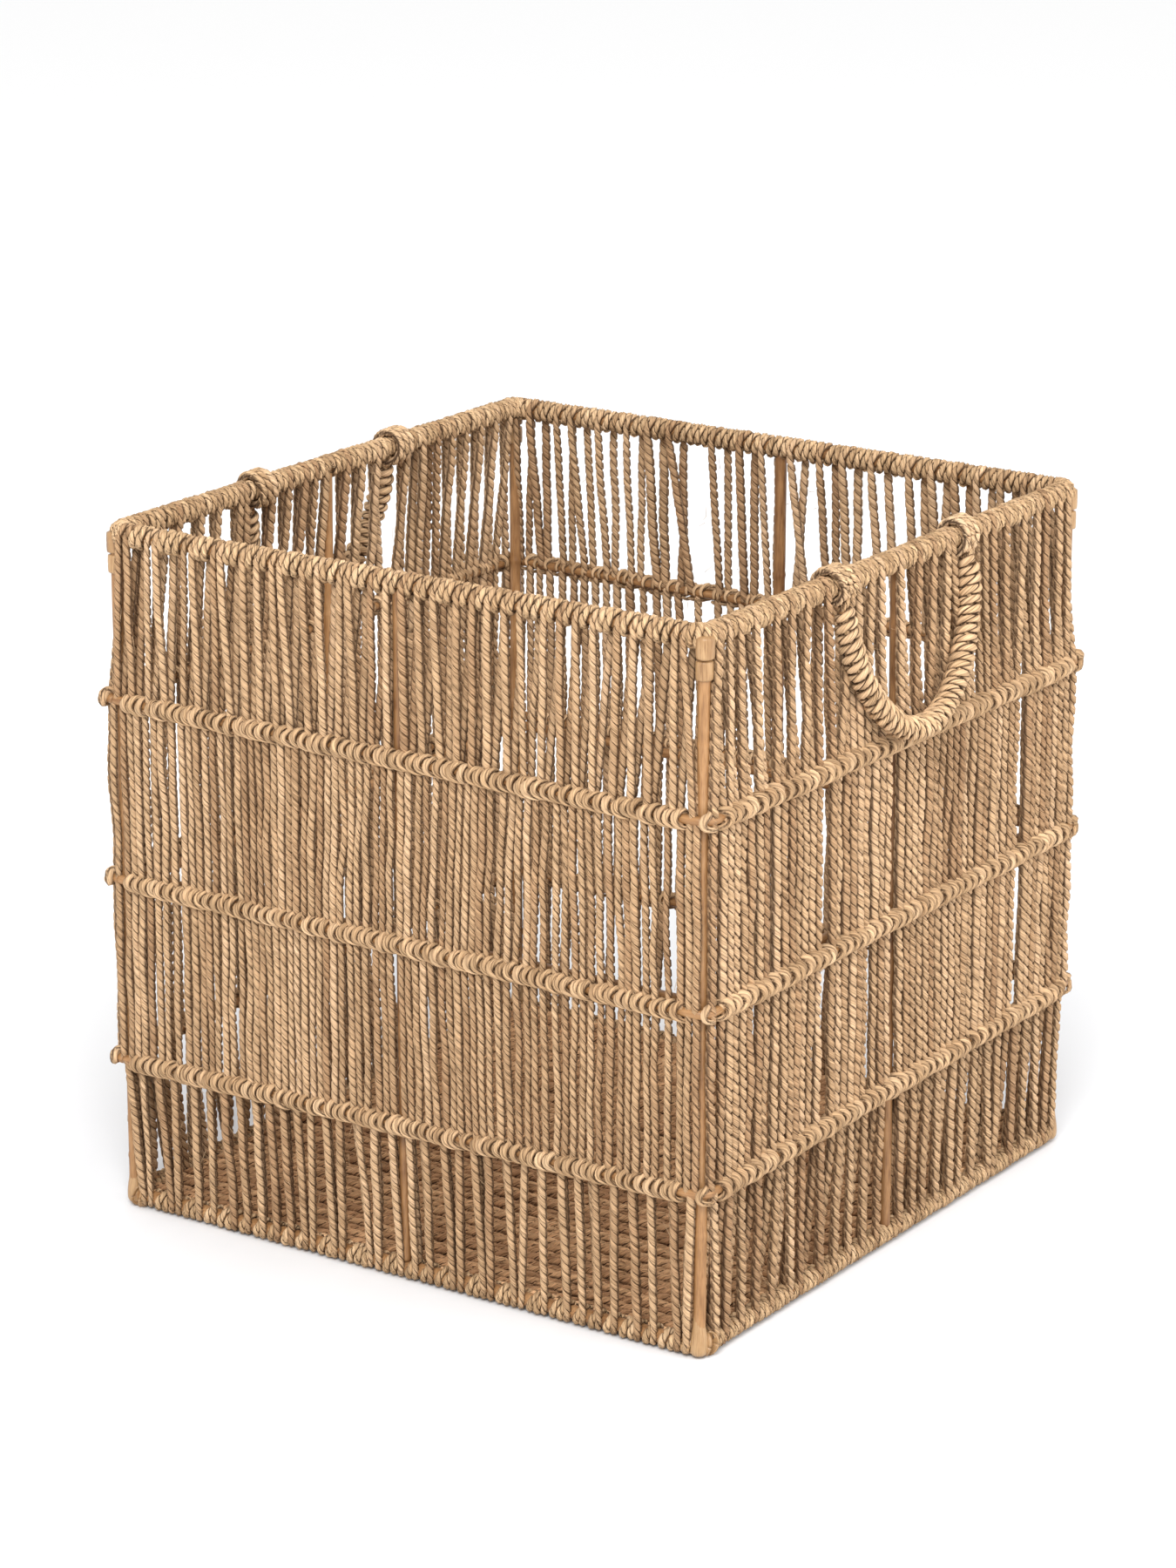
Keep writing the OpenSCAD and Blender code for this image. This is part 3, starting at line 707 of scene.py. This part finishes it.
for h, hoopName in enumerate(hoopNames):
    level = hoopName.split("_")[1]
    addBasketPiece(f"hitch_rows_{level}", [hitchRow(h, k, 500 + 10 * h + k) for k in range(4)], hitchMaterial,
                   "cord_hitches", f"hitches_{level}")
print("hitches made")


canes = {
    "sides": 14,
    "jointHeight": 0.45 * mm,    # how far the joint rings of the cane stand out
    "jointEvery": 105 * mm,
    "sway": 0.35 * mm,
}


def caneRod(path, across, radius, rng, joints=True, ends=0.86):
    # A slightly uneven cane: its radius has a low ring at each joint, radius + h exp(-(d / 1.5 mm)^2) at distance d
    path = np.asarray(path, float)
    run = np.concatenate(([0.0], np.cumsum(np.linalg.norm(np.diff(path, axis=0), axis=1))))
    sizes = radius * (1 + 0.025 * np.sin(run / 0.031 + rng.random() * 6) + 0.015 * np.sin(run / 0.011 + rng.random() * 6))
    if joints:
        first = rng.uniform(0.2, 0.8) * canes["jointEvery"]
        gap = (run - first + canes["jointEvery"] / 2) % canes["jointEvery"] - canes["jointEvery"] / 2
        sizes = sizes + canes["jointHeight"] * np.exp(-(gap / (1.5 * mm)) ** 2) - 0.12 * mm * np.exp(
            -((gap - 3 * mm) / (1.2 * mm)) ** 2)
    sizes[0] *= ends
    sizes[-1] *= ends
    return sweep(path[None], across, roundOutline(canes["sides"]), sizes[None], tone=rng.random())


def lineBetween(a, b, step):
    # evenly spaced points from a to b
    a, b = np.asarray(a, float), np.asarray(b, float)
    count = max(3, int(np.linalg.norm(b - a) / step))
    return a + (b - a) * np.linspace(0, 1, count)[:, None]


def uprightCane(node, seed):
    # a post: a cane along the middle of its node's box
    rng = np.random.default_rng(seed)
    low, high = nodeBox(node)
    middle, radius = (low + high) / 2, (high[0] - low[0]) / 2
    path = lineBetween((middle[0], middle[1], low[2]), (middle[0], middle[1], high[2]), 1.6 * mm)
    t = np.linspace(0, 1, len(path))
    path[:, 0] += canes["sway"] * np.sin(6 * t + rng.random() * 6) * np.sin(math.pi * t)
    path[:, 1] += canes["sway"] * np.sin(5 * t + rng.random() * 6) * np.sin(math.pi * t)
    return caneRod(path, (1, 0, 0), radius, rng)


def levelCane(node, seed):
    # a rail: a cane along the longer side of its node's box
    rng = np.random.default_rng(seed)
    low, high = nodeBox(node)
    middle, radius = (low + high) / 2, (high[2] - low[2]) / 2
    axis = 0 if high[0] - low[0] > high[1] - low[1] else 1
    a, b = middle.copy(), middle.copy()
    a[axis], b[axis] = low[axis], high[axis]
    path = lineBetween(a, b, 1.6 * mm)
    return caneRod(path, (0, 0, 1), radius, rng)


def roundedRing(out, bendRadius, heightOf, step):
    # a closed ring round the basket: straight sides joined by quarter circles, at the height that heightOf gives for x and y
    pieces = []
    for k in range(4):
        half = halfRun[k] + out - bendRadius
        u = np.linspace(-half, half, int(2 * half / step))
        pieces.append(place(k, u, out, 0)[:, :2])
        corner = place(k, half, out - bendRadius, 0)[:2]
        turn = np.linspace(0, math.pi / 2, 9)[1:-1, None]
        pieces.append(corner + bendRadius * (np.cos(turn) * outOfWall[k][:2] + np.sin(turn) * alongWall[k][:2]))
    flat = np.concatenate(pieces)
    return np.column_stack((flat, heightOf(flat[:, 0], flat[:, 1])))


def hoopCane(h, seed):
    # a hoop: a cane carried round the basket as one closed ring
    rng = np.random.default_rng(seed)
    a, b, c = hoopPlanes[h]
    ring = roundedRing(hoopOut, hoopOut, lambda x, y: a + b * x + c * y, 2.2 * mm)
    ring = np.concatenate((ring, ring[:1]))
    return caneRod(ring, up, hoopRod, rng, ends=1.0)


corners = ["front_right", "back_right", "back_left", "front_left"]
for n, name in enumerate(corners):
    addBasketPiece(f"corner_cane_{name}", [uprightCane(f"corner_post_{name}", 600 + n)], caneMaterial,
                   "cane", f"corner_post_{name}")
for n, name in enumerate(wallNames):
    addBasketPiece(f"mid_cane_{name}", [uprightCane(f"mid_post_{name}", 620 + n)], caneMaterial, "cane", f"mid_post_{name}")
    addBasketPiece(f"rail_cane_{name}", [levelCane(f"inner_rail_{name}", 640 + n)], caneMaterial,
                   "cane", f"inner_rail_{name}")
for h, name in enumerate(hoopNames):
    addBasketPiece(f"{name}_cane", [hoopCane(h, 660 + h)], caneMaterial, "cane", name)
print("cane frame made")


floorWeave = {
    "rowPitch": 8.3 * mm,
    "radius": 4.15 * mm,
    "lay": 19 * mm,
    "margin": 5.5 * mm,
    "waveHeight": 0.9 * mm,
}


def floorRows(seed):
    # Rows of thick cord along X, each passing over one bar and under the next: z = middle + h cos(pi x / bar spacing), by turns
    rng = np.random.default_rng(seed)
    halfLength, halfWidth = halfX - floorWeave["margin"], halfY - floorWeave["margin"]
    count = int(2 * halfWidth / floorWeave["rowPitch"])
    y = np.linspace(-halfWidth, halfWidth, count)[:, None]
    x = np.linspace(-halfLength, halfLength, int(2 * halfLength / (3.0 * mm)))[None, :]
    barSpacing = halfX / 2
    side = np.where(np.arange(count) % 2, 1.0, -1.0)[:, None]
    z = footZ + side * floorWeave["waveHeight"] * np.cos(
        math.pi * x / barSpacing) + 0.3 * mm * np.sin(x * 70 + rng.random((count, 1)) * 6)
    paths = np.stack((x + 0 * z, y + 0.4 * mm * np.sin(x * 40 + rng.random((count, 1)) * 6), z), -1)
    radius = floorWeave["radius"] * (1 + rng.normal(0, 0.05, (count, 1))) + 0 * x
    return sweep(paths, (0, 1, 0), lobes(2, 0.7), radius, floorWeave["lay"],
                 rng.random(count) * phaseRange, rng.random(count))


addBasketPiece("floor_rows", [floorRows(700)], floorMaterial, "floor_cord", "base_weave")
print("floor made")


handle = {
    "bottomBend": 60 * mm,
    "lean": math.radians(9.2),
    "drop": 92 * mm,
    "offPlane": 4.85 * mm,
    "legTop": 15.5 * mm,
    "pitch": 6.5 * mm,
    "cord": 3.15 * mm,
    "lay": 21 * mm,
    "loopReach": 10.5 * mm,
    "loopCord": 2.95 * mm,
    "bow": 0.5 * mm,
}


def handleLine(sideSpan, drop, count):
    # the U of a handle in its own plane: side arcs from level leg tops into a bottom arc, as (across, down)
    b = handle["bottomBend"]
    rise = drop - b
    sideRadius = (sideSpan ** 2 + rise ** 2 - b ** 2) / (2 * (sideSpan - b))
    turn = math.atan2(rise, sideRadius - sideSpan)
    sideLength, bottomLength = sideRadius * turn, b * (math.pi - 2 * turn)
    s = np.linspace(0, 2 * sideLength + bottomLength, count)
    t1 = np.clip(s / sideRadius, 0, turn)
    t2 = np.clip((s - sideLength) / b, 0, math.pi - 2 * turn)
    t3 = np.clip((s - sideLength - bottomLength) / sideRadius, 0, turn)
    first = np.stack((sideSpan - sideRadius + sideRadius * np.cos(t1), sideRadius * np.sin(t1)), -1)
    second = np.stack((b * np.cos(turn + t2), rise + b * np.sin(turn + t2)), -1)
    third = np.stack((sideRadius - sideSpan - sideRadius * np.cos(turn - t3), sideRadius * np.sin(turn - t3)), -1)
    line = np.where((s < sideLength)[:, None], first, np.where((s < sideLength + bottomLength)[:, None], second, third))
    return line, s


def handleFrame(sign):
    # a handle's own directions: along the rim, outward and down, leaned about the rim
    along = np.array((0.0, 1.0, 0.0))
    out = np.array((sign * math.cos(handle["lean"]), 0, math.sin(handle["lean"])))
    down = np.array((sign * math.sin(handle["lean"]), 0, -math.cos(handle["lean"])))
    origin = np.array((sign * halfX, 0, rimZ))
    return origin, along, out, down


def windHandle(sign, node, seed):
    # The cord goes round the bent tube: centre line + r (cos p out + sin p inward normal) with p = 2 pi s / pitch, and each turn is
    # bowed towards the rim on the outer face by bow cos p
    rng = np.random.default_rng(seed)
    low, high = nodeBox(node)
    tube = (high[1] - low[1]) / 2 - spacing["handleSpot"]
    origin, along, out, down = handleFrame(sign)
    points = 1200
    line, s = handleLine(spacing["handleSpot"], handle["drop"], points)
    centre = origin + line[:, :1] * along + (handle["offPlane"] * out) + (line[:, 1:] + handle["legTop"]) * down
    tangent = np.gradient(centre, axis=0)
    tangent /= np.linalg.norm(tangent, axis=1, keepdims=True)
    inner = np.cross(tangent, out)
    p = 2 * math.pi * s / handle["pitch"]
    fade = smooth(s / (14 * mm)) * smooth((s[-1] - s) / (14 * mm))
    reach = (tube - handle["cord"]) * (0.72 + 0.28 * fade)[:, None]
    sideSign = np.where(s < s[-1] / 2, 1.0, -1.0) * smooth(np.abs(s - s[-1] / 2) / (25 * mm))
    path = centre + reach * (np.cos(p)[:, None] * out + np.sin(p)[:, None] * inner) - (
        handle["bow"] * sideSign * np.cos(p))[:, None] * tangent
    radius = handle["cord"] * (1 + 0.05 * np.sin(s / (9 * mm)) + 0.04 * np.sin(s / (2.3 * mm)))
    core = sweep(centre[None, ::12], out, roundOutline(12), reach[::12, 0][None], tone=0.3)
    return [sweep(path[None], tangent[None], lobes(2, 0.66), radius[None], handle["lay"], 0.0, 0.6), core]


def handleLoops(sign, seed):
    # Slanting turns of rope round the rim at the top of each leg, and two twisted strands down to the wound tube
    rng = np.random.default_rng(seed)
    origin, along, out, down = handleFrame(sign)
    parts = []
    for side in (-1, 1):
        spot = origin + side * spacing["handleSpot"] * along
        for n, shift in enumerate((-5.6, 0.0, 5.6)):
            t = np.linspace(0, 2 * math.pi, 30)
            lean = 1.6 * mm * np.sin(t - 0.4) * side
            path = spot + (shift * mm + lean)[:, None] * along + handle["loopReach"] * (np.cos(t)[:, None] * out - np.sin(t)[:, None] * down)
            parts.append(sweep(path[None], along, cordOutline, handle["loopCord"] * (1 + 0.04 * rng.normal()),
                               14 * mm, rng.random() * 6, rng.random()))
        t = np.linspace(0, 1, 16)
        for n in (0, 1):
            swing = 2.2 * mm
            q = 2 * math.pi * (0.7 * t) + n * math.pi
            depth = 7.5 * mm + (handle["legTop"] + 3 * mm - 7.5 * mm) * t
            path = (spot + (swing * np.cos(q))[:, None] * along + (handle["offPlane"] + swing * np.sin(q))[:, None] * out + depth[:, None] * down)
            parts.append(sweep(path[None], along, cordOutline, 2.6 * mm, 14 * mm, rng.random() * 6, rng.random()))
    return parts


for sign, name in ((1, "right"), (-1, "left")):
    addPiece(f"{name}_handle_winding", windHandle(sign, f"{name}_handle_wrap", 800 + sign), handleMaterial, f"{name}_handle",
             [f"{name}_handle_wrap"])
    addPiece(f"{name}_handle_rope_loops", handleLoops(sign, 820 + sign), handleMaterial, f"{name}_handle",
             [f"{name}_handle_loops"])
print("handles made")


peelShape = {
    "bandHeight": 13.2 * mm,
    "bandRadius": 5.35 * mm,
    "upperShift": [2.2 * mm, 0.6 * mm, 0.6 * mm, 0.6 * mm],    # how far the upper band stands out over the wound rim, per corner
    "stripRadius": 6.1 * mm,
    "strip": 3.4 * mm,
}


def peelBand(k, bottom, top, radius, shift, tone):
    # a smooth band of peel round a corner post: radius r (1 + 0.05 sin(pi t)) with rounded ends, t from 0 to 1 up the band
    t = np.linspace(0, 1, 16)
    foot = place(k, halfRun[k] + shift * 0.7, shift * 0.7, 0)
    path = foot + (bottom + (top - bottom) * t)[:, None] * up
    size = radius * (1 + 0.05 * np.sin(math.pi * t)) * (1 - 0.35 * np.exp(-t / 0.02) - 0.35 * np.exp(-(1 - t) / 0.02))
    size = size * (1 - 0.035 * np.exp(-((t - 0.45) / 0.03) ** 2))
    return sweep(path[None], alongWall[k], roundOutline(20), size[None], tone=tone)


def topBands(k, seed):
    # two bands, one above the other, at the top of a corner post
    rng = np.random.default_rng(seed)
    split = rimZ - peelShape["bandHeight"]
    return [peelBand(k, split + 0.2 * mm, rimZ + 1.5 * mm, peelShape["bandRadius"] * 1.06,
                     peelShape["upperShift"][k], rng.random()),
            peelBand(k, split - peelShape["bandHeight"], split - 0.3 * mm, peelShape["bandRadius"], 0.4 * mm, rng.random())]


def footStrips(k, seed):
    # flat strips of peel wound slantwise round the bottom rim's bend, and the knob where they close under the post
    rng = np.random.default_rng(seed)
    half = halfRun[k] - rimBend
    middles = half + rimBend * math.pi / 2 * np.array((0.02, 0.34, 0.66, 0.98))
    t = np.linspace(0, 2 * math.pi, 25)[None, :]
    s = middles[:, None] + 1.2 * mm * np.sin(t + 0.6)
    reach = peelShape["stripRadius"] - 0.5 * mm + 0 * t + rng.normal(0, 0.12 * mm, (4, 1))
    strips = sweep(placeOnRing(k, s, reach * np.cos(t), footZ + reach * np.sin(t), 0.0, rimBend), alongWall[k],
                   roundOutline(8), peelShape["strip"], tone=rng.random(4), flat=0.22)
    t = np.linspace(0, 1, 22)
    height = footZ - 5.5 * mm + 36 * mm * t
    size = 3.6 * mm + 2.2 * mm * np.exp(-((height - footZ) / (12 * mm)) ** 2) - 1.0 * mm * np.exp(-t / 0.03)
    foot = place(k, halfRun[k] - 0.4 * mm, 0.0, 0) + height[:, None] * up
    flare = sweep(foot[None], alongWall[k], roundOutline(18), size[None], tone=0.9)
    return [strips, flare]


addBasketPiece("top_corner_peel", [band for k in range(4) for band in topBands(k, 900 + k)], peelMaterial,
               "cane_peel", "post_bindings")
addBasketPiece("foot_corner_peel", [strip for k in range(4) for strip in footStrips(k, 920 + k)], peelMaterial,
               "cane_peel", "foot_bindings")

for name in ("top_rim", "bottom_rim", "base_bars", "right_handle_core", "left_handle_core"):
    node = nodes[name]
    node.data.materials.clear()
    node.data.materials.append(caneSolidMaterial)
nodes["frame_nails"].data.materials.clear()
nodes["frame_nails"].data.materials.append(steelMaterial)


studio = {
    # painted shadow: the floor's grey near the basket, fading out to its own pale colour
    "floorNearPaintedShadow": srgb(226, 227, 229),
    "floorFar": srgb(248, 248, 248),
    "world": 1.0,
    "keyPower": 116.0,
    "fillPower": 34.0,
}


def addStudio():
    # A wide level floor with a painted shadow: it gets paler from 0.35 to 0.9 m from its middle; an even sky, a large
    # soft key light and a weaker one on the other side
    mesh = bpy.data.meshes.new("studio_floor")
    reach = 8.0
    mesh.from_pydata([(-reach, -reach, 0), (reach, -reach, 0), (reach, reach, 0), (-reach, reach, 0)], [], [(0, 1, 2, 3)])
    floor = bpy.data.objects.new("studio_floor", mesh)
    bpy.context.scene.collection.objects.link(floor)
    material, tree, shader = makeMaterial("studio_floor", 0.9, 0.1)
    # the painted shadow ramp: grey near the middle, paler with distance
    away = addNode(tree, "VectorMath", {0: addNode(tree, "TexCoord").outputs["Object"]}, operation="LENGTH").outputs["Value"]
    tree.links.new(rampNode(tree, away, [(0.35, studio["floorNearPaintedShadow"]), (0.9, studio["floorFar"])]),
                   shader.inputs["Base Color"])
    mesh.materials.append(material)
    world = bpy.data.worlds.new("studio")
    world.use_nodes = True
    world.node_tree.nodes["Background"].inputs[0].default_value = (1, 1, 1, 1)
    world.node_tree.nodes["Background"].inputs[1].default_value = studio["world"]
    bpy.context.scene.world = world
    for name, power, size, spot in (("key", studio["keyPower"], 1.6, (1.3, -2.5, 2.7)),
                                    ("fill", studio["fillPower"], 2.0, (2.8, 0.2, 1.6))):
        light = bpy.data.lights.new(name, "AREA")
        light.energy, light.size = power, size
        lamp = bpy.data.objects.new(name, light)
        lamp.location = spot
        lamp.rotation_mode = "QUATERNION"
        lamp.rotation_quaternion = (Vector((0, 0, 0.25)) - Vector(spot)).to_track_quat("-Z", "Y")
        bpy.context.scene.collection.objects.link(lamp)


def addCamera():
    # the camera stands 34.2 degrees round from the front and 17.1 degrees up
    azimuth, elevation = math.radians(34.19), math.radians(17.13)
    back = Vector((math.sin(azimuth) * math.cos(elevation), -math.cos(azimuth) * math.cos(elevation), math.sin(elevation)))
    lens = bpy.data.cameras.new("camera")
    lens.lens, lens.sensor_width = 109.42, 36.0
    camera = bpy.data.objects.new("camera", lens)
    camera.location = (1.69697, -2.51260, 1.21133)
    camera.rotation_mode = "QUATERNION"
    camera.rotation_quaternion = (-back).to_track_quat("-Z", "Y")
    bpy.context.scene.collection.objects.link(camera)
    bpy.context.scene.camera = camera


addStudio()
addCamera()
bpy.context.scene.view_settings.view_transform = "Standard"
print("studio made")
